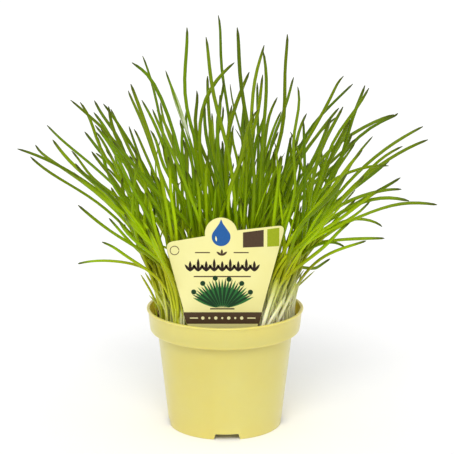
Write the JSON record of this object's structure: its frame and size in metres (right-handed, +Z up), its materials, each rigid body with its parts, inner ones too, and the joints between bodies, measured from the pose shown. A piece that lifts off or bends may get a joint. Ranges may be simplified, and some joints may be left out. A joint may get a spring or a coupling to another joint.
{
  "type": "potted chive plant",
  "caption": "Bunch of chives growing in a round tapered plastic nursery pot filled with peat, with a flat card plant label standing at the front.",
  "frame": {"origin": "on the surface the pot stands on, at the middle of the pot's foot", "axes": "+Z up along the pot's axis; -Y to the front, where the label stands; +X to the right"},
  "size_m": [0.316, 0.2248, 0.3145],
  "materials": {
    "pot_plastic": "satin moulded polypropylene, pale yellow",
    "peat_crumb": "dark brown crumbly peat and fine root fibres, fully matte",
    "label_card": "thin coated label sheet, cream, with a printed brown band",
    "chive_leaf": "satin living leaf, whitish at the base, yellow-green to dark green at the tip"
  },
  "bodies": {
    "root": {"pot": "pot_plastic", "peat": "peat_crumb", "plant_label": "label_card", "chive_tuft_01": "chive_leaf", "chive_tuft_02": "chive_leaf", "chive_tuft_03": "chive_leaf", "chive_tuft_04": "chive_leaf", "chive_tuft_05": "chive_leaf", "chive_tuft_06": "chive_leaf", "chive_tuft_07": "chive_leaf", "chive_tuft_08": "chive_leaf", "chive_tuft_09": "chive_leaf", "chive_tuft_10": "chive_leaf", "chive_tuft_11": "chive_leaf", "chive_tuft_12": "chive_leaf", "chive_tuft_13": "chive_leaf", "chive_tuft_14": "chive_leaf", "chive_tuft_15": "chive_leaf", "chive_tuft_16": "chive_leaf"}
  },
  "joints": []
}
